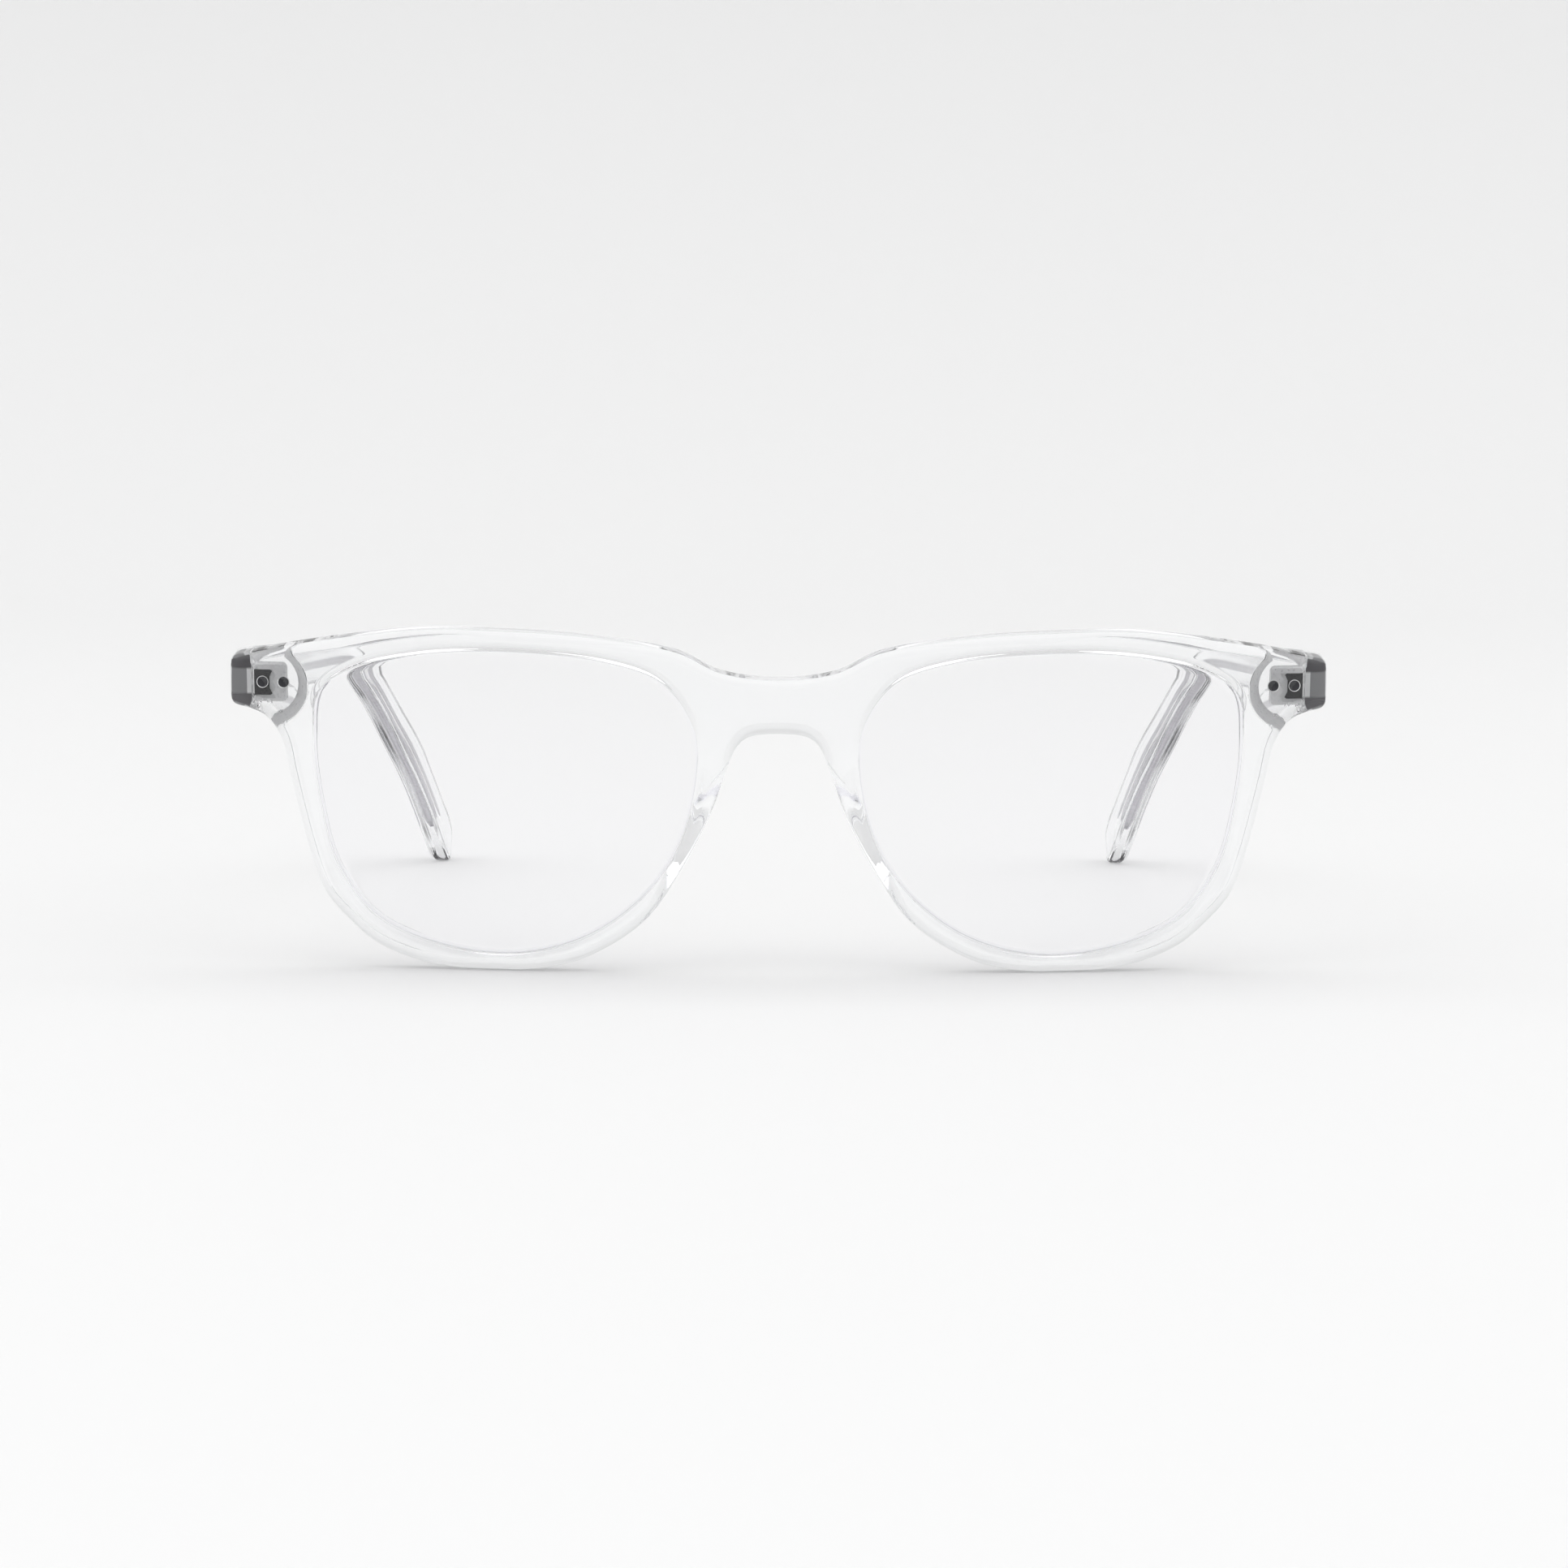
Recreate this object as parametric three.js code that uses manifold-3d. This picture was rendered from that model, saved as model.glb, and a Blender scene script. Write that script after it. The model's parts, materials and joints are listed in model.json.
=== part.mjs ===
// Clear acetate blue light glasses, open and standing on a flat surface.
// Millimetres. +X is the wearer's left, +Y runs from the front back to the temple tips, +Z is up.
// The front is drawn flat as u across and v up, then bent and leaned back over the face.
import * as THREE from 'three';
import { mergeVertices } from 'three/addons/utils/BufferGeometryUtils.js';
import Module from 'manifold-3d';

const wasm = await Module();
wasm.setup();

// Driving dimensions
const FRONT_WIDTH = 140;
const FRONT_THICKNESS = 4;
const FRONT_BEND_RADIUS = 320;
const FRONT_TILT = THREE.MathUtils.degToRad(8);
const GROOVE_DEPTH = 0.9;
const GROOVE_WIDTH = 1.4;
const LENS_THICKNESS = 2;
const LENS_GAP = 0.15;
const HINGE_X = 65.65;
const HINGE_Y = 9.6;
const HINGE_Z = 37.25;
const BOSS_Z = 37.2;
const BOSS_RADIUS = 4;
const BOSS_HALF_HEIGHT = 4.1;
const BOSS_INNER_X = 61;
const BOSS_DEPTH = 6.5;
const TEMPLE_Z = 37.1;
const TEMPLE_FALL = 0.02;
const BARREL_RADIUS = 1.15;
const HINGE_TO_TEMPLE = 1.25;
const BARREL_COUNT = 5;
const BARREL_HEIGHT = 0.76;
const BARREL_GAP = 0.1;
const ROUND_SIDES = 24;
const RIVET_SIDES = 12;
const SCREW_RADIUS = 0.55;
const SCREW_CLEARANCE = 0.07;
const SCREW_HEAD_RADIUS = 1.0;
const SCREW_HEAD_HEIGHT = 0.45;
const SCREW_SLOT_HALF_WIDTH = 0.15;
const BOSS_TO_AXIS = 1.35;
const TEMPLE_TO_BOSS = 0.3;
const LEAF_THICKNESS = 0.9;
const LEAF_GAP = 0.1;
const LEAF_HALF_HEIGHT = 2.35;
const LEAF_CORNER = 0.8;
const FRONT_LEAF_INNER_X = 62.7;
const FRONT_LEAF_OUTER_X = 66.85;
const TEMPLE_LEAF_LENGTH = 9.6;
const TEMPLE_LEAF_SETBACK = 0.35;
const KNUCKLE_HALF_WIDTH = 1.1;
const RIVET_RADIUS = 0.5;
const RIVET_HEAD_RADIUS = 0.7;
const RIVET_HEAD_HEIGHT = 0.6;
const RIVET_GAP = 0.1;
const RIVET_HEAD_TO_LEAF = 2.9;
const PAD_RADII = [2.7, 5.2, 8.2];
const PAD_LEAN = THREE.MathUtils.degToRad(-24);
const PAD_PLACE = [11, FRONT_THICKNESS + 0.4, 19.5];
const PAD_GAP = 0.12;
const PAD_TO_LENS = 0.2;
const TEMPLE_THICKNESS = 3.3;
const TEMPLE_HEIGHT = 6.7;
const TEMPLE_REACH = 139;
const WIRE_RADIUS = 0.55;
const WIRE_GAP = 0.15;
const WIRE_X_OFFSET = 0.2;
const WIRE_END_TRIM = 0.3;

// Each rim's flat bottom runs between these. The bend and the lean lift its inner end off zero.
const FLAT_START = 33;
const FLAT_END = 41;
const BEND_AT_FLAT = FRONT_BEND_RADIUS - Math.sqrt(FRONT_BEND_RADIUS ** 2 - FLAT_START ** 2);
const TABLE_Z = BEND_AT_FLAT * Math.sin(FRONT_TILT);

const BOSS_REAR = HINGE_Y - BOSS_TO_AXIS;
const TEMPLE_FRONT = BOSS_REAR + TEMPLE_TO_BOSS;
const TEMPLE_INNER = HINGE_X + HINGE_TO_TEMPLE;
const TEMPLE_OUTER = TEMPLE_INNER + TEMPLE_THICKNESS;
const STACK_HEIGHT = BARREL_COUNT * BARREL_HEIGHT + (BARREL_COUNT - 1) * BARREL_GAP;
const STACK_BOTTOM = HINGE_Z - STACK_HEIGHT / 2;

// Outline of the front, one half, as u, v
const TOP_EDGE = [[0, 38.3], [7.4, 39.2], [12.6, 41.7], [24.9, 43.6], [36, 44.1], [45, 44], [57, 42.4],
  [69.9, 39.8]];
const OUTER_EDGE = [[70, 33.5], [67.3, 33], [65.2, 32], [63.3, 29], [62.4, 24.7], [59.7, 13.6], [58, 9.2],
  [55, 5.8], [51.5, 2.9], [45.4, 0.6], [FLAT_END, 0]];
const NASAL_EDGE = [[FLAT_START, 0], [29.6, 0.4], [24.4, 1.9], [17.1, 6.7], [12.35, 13.5], [8.45, 21.2],
  [6, 28.2], [5.2, 29.85], [3.85, 31], [0, 31.4]];
const LENS_OPENING = [[35.5, 41.5], [46.4, 40.7], [54.4, 38.6], [58.5, 35.5], [59.3, 29.2], [58.5, 21],
  [56.4, 12.9], [51.9, 6.7], [44.4, 3.2], [34.4, 2], [25.9, 3.9], [19.4, 7.85], [14.35, 13.5],
  [11.4, 20.25], [10.2, 28.4], [11.1, 33.1], [14.8, 37.9], [21.85, 40.4]];

// Temple seen from the side as y, z and from above as x, y, along its middle. It falls a little to the bend.
const fallen = (y) => TEMPLE_Z - TEMPLE_FALL * (y - TEMPLE_FRONT);
const TEMPLE_SIDE = [[50, fallen(50)], [88, fallen(88)], [97, 34.6], [105, 30.4], [114, 23.8], [123, 17],
  [TEMPLE_REACH - 3, 5.5]];
const TEMPLE_HALF_HEIGHTS = [2.9, 2.6, 2.6, 2.9, 3.3, 3.7, 3.9];
const TEMPLE_TIP = [[0, 4.5], [0.6, 2.2], [-1, 0.4], [-3.4, 0]];
const TEMPLE_PLAN = [[40, 0], [70, -1.2], [97, -4.2], [106, -6.4], [122, -10.6], [TEMPLE_REACH + 3, -15]];

const MATERIALS = {
  acetate: { color: 0xe8eef0, roughness: 0.06, metalness: 0 },
  lens: { color: 0xf2f2f8, roughness: 0.02, metalness: 0 },
  hinge: { color: 0x55565c, roughness: 0.35, metalness: 1 },
  rivet: { color: 0x3a3a40, roughness: 0.3, metalness: 1 },
  wire: { color: 0x6a6a72, roughness: 0.3, metalness: 1 },
};

function toSolid(geometry) {
  geometry.deleteAttribute('normal');
  geometry.deleteAttribute('uv');
  const merged = mergeVertices(geometry, 1e-4);
  return new wasm.Manifold(new wasm.Mesh({
    numProp: 3,
    vertProperties: new Float32Array(merged.attributes.position.array),
    triVerts: new Uint32Array(merged.index.array),
  }));
}

function toGeometry(solid) {
  const { vertProperties, triVerts } = solid.getMesh();
  const geometry = new THREE.BufferGeometry();
  geometry.setAttribute('position', new THREE.BufferAttribute(vertProperties, 3));
  geometry.setIndex(new THREE.BufferAttribute(triVerts, 1));
  return geometry;
}

function part(name, material, solid) {
  const mesh = new THREE.Mesh(toGeometry(solid), new THREE.MeshStandardMaterial(MATERIALS[material]));
  mesh.name = name;
  return mesh;
}

function curvePoints(points, steps, closed = false) {
  const curve = new THREE.CatmullRomCurve3(
    points.map(([x, y]) => new THREE.Vector3(x, y, 0)), closed, 'centripetal');
  const sampled = curve.getPoints(steps).map((p) => new THREE.Vector2(p.x, p.y));
  return closed ? sampled.slice(0, -1) : sampled;
}

const mirrored = (points) => points.map(([u, v]) => [-u, v]).reverse();

// The whole outline of the front, anticlockwise from the left end piece's top corner.
function frontOutline() {
  return [
    ...curvePoints([...mirrored(TOP_EDGE), ...TOP_EDGE.slice(1)], 30),
    ...curvePoints(OUTER_EDGE, 18),
    ...curvePoints([...NASAL_EDGE, ...mirrored(NASAL_EDGE).slice(1)], 34),
    ...curvePoints(mirrored(OUTER_EDGE), 18),
  ];
}

function grown(points, distance) {
  return points.map((point, i) => {
    const before = points[(i + points.length - 1) % points.length];
    const after = points[(i + 1) % points.length];
    const along = after.clone().sub(before).normalize();
    return point.clone().add(new THREE.Vector2(-along.y, along.x).multiplyScalar(distance));
  });
}

// Straight prism through the leaned front, wide enough to pass both faces of the bent sheet.
function frontPrism(points, side = 1) {
  const shape = new THREE.Shape(points.map((p) => new THREE.Vector2(side * p.x, p.y)));
  const geometry = new THREE.ExtrudeGeometry(shape, { depth: 40, bevelEnabled: false });
  geometry.rotateX(Math.PI / 2).translate(0, 30, 0).rotateX(FRONT_TILT);
  return toSolid(geometry);
}

// The bent sheet between two depths behind the front face.
function bentSheet(nearDepth, farDepth) {
  const halfAngle = Math.asin((FRONT_WIDTH / 2 + 4) / FRONT_BEND_RADIUS);
  const steps = 12;
  const arc = (depth) => Array.from({ length: steps + 1 }, (_, i) => {
    const angle = halfAngle * (2 * i / steps - 1);
    const radius = FRONT_BEND_RADIUS - depth;
    return new THREE.Vector2(radius * Math.sin(angle), FRONT_BEND_RADIUS - radius * Math.cos(angle));
  });
  const shape = new THREE.Shape([...arc(nearDepth), ...arc(farDepth).reverse()]);
  const geometry = new THREE.ExtrudeGeometry(shape, { depth: 60, bevelEnabled: false });
  geometry.translate(0, 0, -8).rotateX(FRONT_TILT);
  return toSolid(geometry);
}

function block(x0, x1, y0, y1, z0, z1) {
  const geometry = new THREE.BoxGeometry(x1 - x0, y1 - y0, z1 - z0);
  geometry.translate((x0 + x1) / 2, (y0 + y1) / 2, (z0 + z1) / 2);
  return toSolid(geometry);
}

// Box along Y with its four long edges rounded, as a milled pocket or a stamped leaf has.
function roundedBlock(x0, x1, y0, y1, z0, z1, radius) {
  const shape = new THREE.Shape();
  shape.absarc(x1 - radius, z1 - radius, radius, 0, Math.PI / 2);
  shape.absarc(x0 + radius, z1 - radius, radius, Math.PI / 2, Math.PI);
  shape.absarc(x0 + radius, z0 + radius, radius, Math.PI, Math.PI * 1.5);
  shape.absarc(x1 - radius, z0 + radius, radius, Math.PI * 1.5, Math.PI * 2);
  const geometry = new THREE.ExtrudeGeometry(shape,
    { depth: y1 - y0, bevelEnabled: false, curveSegments: 5 });
  geometry.rotateX(Math.PI / 2).translate(0, y1, 0);
  return toSolid(geometry);
}

// Turned solid from radius, height pairs, standing along Z on the given point.
function turned(profile, sides, x, y, z, turn = [0, 0]) {
  const geometry = new THREE.LatheGeometry(profile.map(([r, h]) => new THREE.Vector2(r, h)), sides);
  geometry.rotateX(Math.PI / 2 + turn[0]).rotateY(turn[1]).translate(x, y, z);
  return toSolid(geometry);
}

const rod = (radius, length) => [[0, 0], [radius, 0], [radius, length], [0, length]];

const lensOutline = curvePoints(LENS_OPENING, 34, true);
const frontSilhouette = frontPrism(frontOutline());
const rivetPlaces = { outer: [65.7, HINGE_Z], inner: [62.96, HINGE_Z] };

// A piece has no gap. Its cutter is larger by the gap, and runs on past the face it opens through.
const past = (gap) => gap * 10;

// Rivet along Y, head forward. It starts ahead of the front and is trimmed to its face.
function frontRivet([x, z], gap) {
  const headAt = BOSS_REAR - LEAF_THICKNESS - RIVET_HEAD_TO_LEAF;
  const head = RIVET_HEAD_RADIUS + gap;
  const shank = RIVET_RADIUS + gap;
  const ahead = -FRONT_THICKNESS * 1.5;
  const end = BOSS_REAR - headAt + past(gap);
  const profile = [[0, ahead], [head, ahead], [head, RIVET_HEAD_HEIGHT + gap],
    [shank, RIVET_HEAD_HEIGHT + gap], [shank, end], [0, end]];
  return turned(profile, RIVET_SIDES, x, headAt, z, [-Math.PI / 2, 0]);
}

function frontLeafPlate(gap) {
  return roundedBlock(FRONT_LEAF_INNER_X - gap, FRONT_LEAF_OUTER_X + gap,
    BOSS_REAR - LEAF_THICKNESS - gap, BOSS_REAR + past(gap),
    HINGE_Z - LEAF_HALF_HEIGHT - gap, HINGE_Z + LEAF_HALF_HEIGHT + gap, LEAF_CORNER + gap);
}

// Takes a set of rivet cutters out of a solid.
function withoutRivets(solid, places, rivet) {
  let cut = solid;
  for (const place of Object.values(places)) {
    cut = cut.subtract(rivet(place, RIVET_GAP));
  }
  return cut;
}

function barrels(which, reach) {
  let solid = null;
  for (let i = which; i < BARREL_COUNT; i += 2) {
    const z = STACK_BOTTOM + i * (BARREL_HEIGHT + BARREL_GAP);
    const barrel = turned(rod(BARREL_RADIUS, BARREL_HEIGHT), ROUND_SIDES, HINGE_X, HINGE_Y, z)
      .add(reach(z, z + BARREL_HEIGHT));
    solid = solid ? solid.add(barrel) : barrel;
  }
  const bore = turned(rod(SCREW_RADIUS + SCREW_CLEARANCE, 2 * STACK_HEIGHT), ROUND_SIDES,
    HINGE_X, HINGE_Y, STACK_BOTTOM - STACK_HEIGHT / 2);
  return { solid, bore };
}

function frontHingeLeaf() {
  const { solid, bore } = barrels(1, (z0, z1) => block(HINGE_X - KNUCKLE_HALF_WIDTH,
    HINGE_X + KNUCKLE_HALF_WIDTH, BOSS_REAR - LEAF_THICKNESS / 2, HINGE_Y, z0, z1));
  return withoutRivets(frontLeafPlate(0).add(solid).subtract(bore), rivetPlaces, frontRivet);
}

function bossBlock() {
  const outer = FRONT_WIDTH / 2;
  return roundedBlock(BOSS_INNER_X, outer + 2 * BOSS_RADIUS, BOSS_REAR - BOSS_DEPTH, BOSS_REAR,
    BOSS_Z - BOSS_HALF_HEIGHT, BOSS_Z + BOSS_HALF_HEIGHT, BOSS_RADIUS)
    .intersect(block(0, outer, -BOSS_REAR, 2 * BOSS_REAR, 0, 2 * BOSS_Z));
}

function endPieceCuts(front) {
  return withoutRivets(front.subtract(frontLeafPlate(LEAF_GAP)), rivetPlaces, frontRivet);
}

const mirror = (solid) => solid.mirror([1, 0, 0]);

function frontFrame() {
  const sheet = bentSheet(0, FRONT_THICKNESS);
  let front = sheet.intersect(frontSilhouette);
  const behindFace = bentSheet(FRONT_THICKNESS / 8, FRONT_THICKNESS * 5);
  const boss = bossBlock().intersect(behindFace).intersect(frontSilhouette);
  front = front.add(boss).add(mirror(boss));
  const grooveNear = (FRONT_THICKNESS - GROOVE_WIDTH) / 2;
  const groove = bentSheet(grooveNear, grooveNear + GROOVE_WIDTH);
  for (const side of [1, -1]) {
    front = front.subtract(frontPrism(lensOutline, side));
    front = front.subtract(groove.intersect(frontPrism(grown(lensOutline, GROOVE_DEPTH), side)));
  }
  return mirror(endPieceCuts(mirror(endPieceCuts(front))));
}

function lens() {
  const near = (FRONT_THICKNESS - LENS_THICKNESS) / 2;
  const body = bentSheet(near, near + LENS_THICKNESS).intersect(frontPrism(grown(lensOutline, -LENS_GAP)));
  const rimNear = (FRONT_THICKNESS - GROOVE_WIDTH) / 2 + LENS_GAP;
  const tongue = bentSheet(rimNear, rimNear + GROOVE_WIDTH - 2 * LENS_GAP)
    .intersect(frontPrism(grown(lensOutline, GROOVE_DEPTH - LENS_GAP)));
  return body.add(tongue);
}

// Pad: a flattened drop that leans with the rim's nasal edge and stands on the back of the front.
function nosePad() {
  const geometry = new THREE.SphereGeometry(1, 20, 14);
  geometry.scale(...PAD_RADII).rotateY(PAD_LEAN);
  geometry.translate(...PAD_PLACE).rotateX(FRONT_TILT);
  return toSolid(geometry).subtract(bentSheet(-FRONT_THICKNESS * 5, FRONT_THICKNESS + PAD_GAP))
    .subtract(frontPrism(grown(lensOutline, PAD_TO_LENS)));
}

function templeSideOutline() {
  const half = TEMPLE_HEIGHT / 2;
  const upper = [[TEMPLE_FRONT, TEMPLE_Z + half], [25, fallen(25) + half - 0.1]];
  const lower = [[TEMPLE_FRONT, TEMPLE_Z - half], [25, fallen(25) - half + 0.1]];
  TEMPLE_SIDE.forEach(([y, z], i) => {
    const [y0, z0] = TEMPLE_SIDE[Math.max(i - 1, 0)];
    const [y1, z1] = TEMPLE_SIDE[Math.min(i + 1, TEMPLE_SIDE.length - 1)];
    const length = Math.hypot(y1 - y0, z1 - z0);
    const [dy, dz] = [-(z1 - z0) / length, (y1 - y0) / length].map((d) => d * TEMPLE_HALF_HEIGHTS[i]);
    upper.push([y + dy, z + dz]);
    lower.push([y - dy, z - dz]);
  });
  const tip = TEMPLE_TIP.map(([behind, z]) => [TEMPLE_REACH + behind, z + TABLE_Z]);
  return [...curvePoints([...upper, ...tip], 36), ...curvePoints(lower.reverse(), 24)];
}

function templePlanOutline() {
  const middle = (TEMPLE_INNER + TEMPLE_OUTER) / 2;
  const half = TEMPLE_THICKNESS / 2;
  const line = [[middle, TEMPLE_FRONT - 12], [middle, 22], ...TEMPLE_PLAN.map(([y, dx]) => [middle + dx, y])];
  const points = curvePoints(line, 26);
  return [...grown(points, half).slice(1, -1), ...grown(points, -half).slice(1, -1).reverse()];
}

function templeBlank() {
  const through = { depth: 60, bevelEnabled: false };
  const side = new THREE.ExtrudeGeometry(new THREE.Shape(templeSideOutline()), through);
  side.rotateZ(Math.PI / 2).rotateY(Math.PI / 2).translate(30, 0, 0);
  const plan = new THREE.ExtrudeGeometry(new THREE.Shape(templePlanOutline()), through);
  plan.translate(0, 0, -5);
  return toSolid(side).intersect(toSolid(plan));
}

// Wire along the temple's middle. It stops short of the last point by a share of the last stretch.
function wireSolid(radius, start, endTrim) {
  const middle = (TEMPLE_INNER + TEMPLE_OUTER) / 2 + WIRE_X_OFFSET;
  const bend = TEMPLE_SIDE.slice(1).map(([y, z]) => new THREE.Vector3(middle + planOffset(y), y, z));
  const last = bend.pop();
  bend.push(last.lerp(bend[bend.length - 1], endTrim));
  const path = new THREE.CatmullRomCurve3([new THREE.Vector3(middle, start, HINGE_Z),
    new THREE.Vector3(middle, 25, HINGE_Z), new THREE.Vector3(middle + planOffset(60), 60, fallen(60)),
    ...bend], false, 'centripetal');
  const ring = new THREE.Shape();
  ring.absarc(0, 0, radius, 0, Math.PI * 2);
  return toSolid(new THREE.ExtrudeGeometry(ring, { steps: 28, extrudePath: path, curveSegments: 4 }));
}

function planOffset(y) {
  const i = Math.max(TEMPLE_PLAN.findIndex(([at]) => at >= y), 1);
  const [y0, x0] = TEMPLE_PLAN[i - 1];
  const [y1, x1] = TEMPLE_PLAN[i];
  return THREE.MathUtils.lerp(x0, x1, THREE.MathUtils.clamp((y - y0) / (y1 - y0), 0, 1));
}

// One rivet passes above the core wire and one below it.
const templeRivetPlaces = {
  front: [HINGE_Y + 3.6, HINGE_Z + 1.55],
  rear: [HINGE_Y + 6.4, HINGE_Z - 1.55],
};

// Rivet along X: its head is flush in the temple's outer face, its shank ends in the leaf.
function templeRivet([y, z], gap) {
  const start = -past(gap);
  const end = TEMPLE_THICKNESS - 0.05 + 1.5 * gap;
  const head = RIVET_HEAD_RADIUS + gap;
  const shank = RIVET_RADIUS + gap;
  const profile = [[0, start], [head, start], [head, RIVET_HEAD_HEIGHT + gap],
    [shank, RIVET_HEAD_HEIGHT + gap], [shank, end], [0, end]];
  return turned(profile, RIVET_SIDES, TEMPLE_OUTER, y, z, [0, -Math.PI / 2]);
}

function templeLeafPlate(gap) {
  const plate = roundedBlock(-TEMPLE_LEAF_LENGTH - gap, 2 * past(gap), -past(gap), LEAF_THICKNESS + gap,
    -LEAF_HALF_HEIGHT - gap, LEAF_HALF_HEIGHT + gap, LEAF_CORNER);
  return plate.rotate([0, 0, -90])
    .translate([TEMPLE_INNER, TEMPLE_FRONT + TEMPLE_LEAF_SETBACK, HINGE_Z]);
}

function templeHingeLeaf() {
  const { solid, bore } = barrels(0, (z0, z1) => block(HINGE_X, TEMPLE_INNER + LEAF_THICKNESS / 2,
    HINGE_Y - 1, HINGE_Y + KNUCKLE_HALF_WIDTH, z0, z1));
  return withoutRivets(templeLeafPlate(0).add(solid).subtract(bore), templeRivetPlaces, templeRivet);
}

function temple() {
  const recessed = templeBlank().subtract(templeLeafPlate(LEAF_GAP));
  const solid = withoutRivets(recessed, templeRivetPlaces, templeRivet);
  return solid.subtract(wireSolid(WIRE_RADIUS + WIRE_GAP, TEMPLE_FRONT - 1, WIRE_END_TRIM - 0.1));
}

function hingeScrew() {
  const top = STACK_HEIGHT + 0.05;
  const profile = [[0, 0], [SCREW_RADIUS, 0], [SCREW_RADIUS, top], [SCREW_HEAD_RADIUS, top],
    [SCREW_HEAD_RADIUS, top + SCREW_HEAD_HEIGHT * 0.6], [SCREW_HEAD_RADIUS * 0.7, top + SCREW_HEAD_HEIGHT],
    [0, top + SCREW_HEAD_HEIGHT]];
  const slotFloor = STACK_BOTTOM + top + SCREW_HEAD_HEIGHT * 0.5;
  const slotReach = 2 * SCREW_HEAD_RADIUS;
  const slot = block(HINGE_X - slotReach, HINGE_X + slotReach,
    HINGE_Y - SCREW_SLOT_HALF_WIDTH, HINGE_Y + SCREW_SLOT_HALF_WIDTH, slotFloor, slotFloor + slotReach);
  return turned(profile, ROUND_SIDES, HINGE_X, HINGE_Y, STACK_BOTTOM).subtract(slot);
}

// Every piece that exists once on each side, built on the wearer's left.
function sideParts() {
  const inFrontOnly = bentSheet(0, 30);
  const parts = {
    lens: ['lens', lens()],
    nose_pad: ['acetate', nosePad()],
    front_hinge_leaf: ['hinge', frontHingeLeaf()],
    temple_hinge_leaf: ['hinge', templeHingeLeaf()],
    hinge_screw: ['hinge', hingeScrew()],
    temple: ['acetate', temple()],
    temple_core_wire: ['wire', wireSolid(WIRE_RADIUS, TEMPLE_FRONT + 0.2, WIRE_END_TRIM)],
  };
  for (const [which, place] of Object.entries(rivetPlaces)) {
    parts[`front_rivet_${which}`] = ['rivet', frontRivet(place, 0).intersect(inFrontOnly)];
  }
  for (const [which, place] of Object.entries(templeRivetPlaces)) {
    parts[`temple_rivet_${which}`] = ['rivet', templeRivet(place, 0)];
  }
  return parts;
}

const glasses = new THREE.Group();
glasses.add(part('front_frame', 'acetate', frontFrame()));
for (const [name, [material, solid]] of Object.entries(sideParts())) {
  glasses.add(part(`${name}_left`, material, solid));
  glasses.add(part(`${name}_right`, material, mirror(solid)));
}

// The origin is on the surface, under the middle of the glasses.
const bounds = new THREE.Box3().setFromObject(glasses);
glasses.position.set(0, -(bounds.min.y + bounds.max.y) / 2, -bounds.min.z);

export default glasses;
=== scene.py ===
import json
import math

import bmesh
import bpy
import numpy as np
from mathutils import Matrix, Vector
from mathutils.geometry import delaunay_2d_cdt


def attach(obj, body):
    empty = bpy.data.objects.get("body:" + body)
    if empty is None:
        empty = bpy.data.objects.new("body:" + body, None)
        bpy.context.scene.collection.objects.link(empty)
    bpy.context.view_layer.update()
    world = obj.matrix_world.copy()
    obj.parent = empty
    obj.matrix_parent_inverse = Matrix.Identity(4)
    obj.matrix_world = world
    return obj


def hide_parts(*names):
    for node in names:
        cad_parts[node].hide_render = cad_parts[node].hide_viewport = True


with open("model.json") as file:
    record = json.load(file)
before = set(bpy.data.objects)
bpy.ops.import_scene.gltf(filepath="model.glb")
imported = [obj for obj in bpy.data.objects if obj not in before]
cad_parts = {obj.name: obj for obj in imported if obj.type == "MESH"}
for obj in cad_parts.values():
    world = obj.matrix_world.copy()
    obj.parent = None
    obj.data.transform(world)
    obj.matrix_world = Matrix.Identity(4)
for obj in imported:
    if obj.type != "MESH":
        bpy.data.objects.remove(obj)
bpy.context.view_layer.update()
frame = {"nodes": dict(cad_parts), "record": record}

MM = 0.001

# The frame's own dimensions, as in the CAD model
THICKNESS = 4.0
BEND_RADIUS = 320.0
TILT = math.radians(8)
HINGE_LOCAL = (65.65, 9.6, 37.25)
BOSS_Z = 37.2
TEMPLE_Z = 37.1
TEMPLE_FALL = 0.02
BOSS_TO_AXIS = 1.35
TEMPLE_TO_AXIS = 1.05
HINGE_TO_TEMPLE = 1.25
TEMPLE_THICKNESS = 3.3
BARREL_RADIUS = 1.15
BARREL_COUNT = 5
BARREL_HEIGHT = 0.76
BARREL_GAP = 0.1
LEAF_THICKNESS = 0.9

hinge = next(j for j in frame["record"]["behaviour"]["joints"] if j["name"] == "temple_left_fold")
HINGE = np.array(hinge["pos_m"]) / MM
SHIFT = HINGE - np.array(HINGE_LOCAL)
BOSS_REAR = HINGE_LOCAL[1] - BOSS_TO_AXIS

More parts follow.
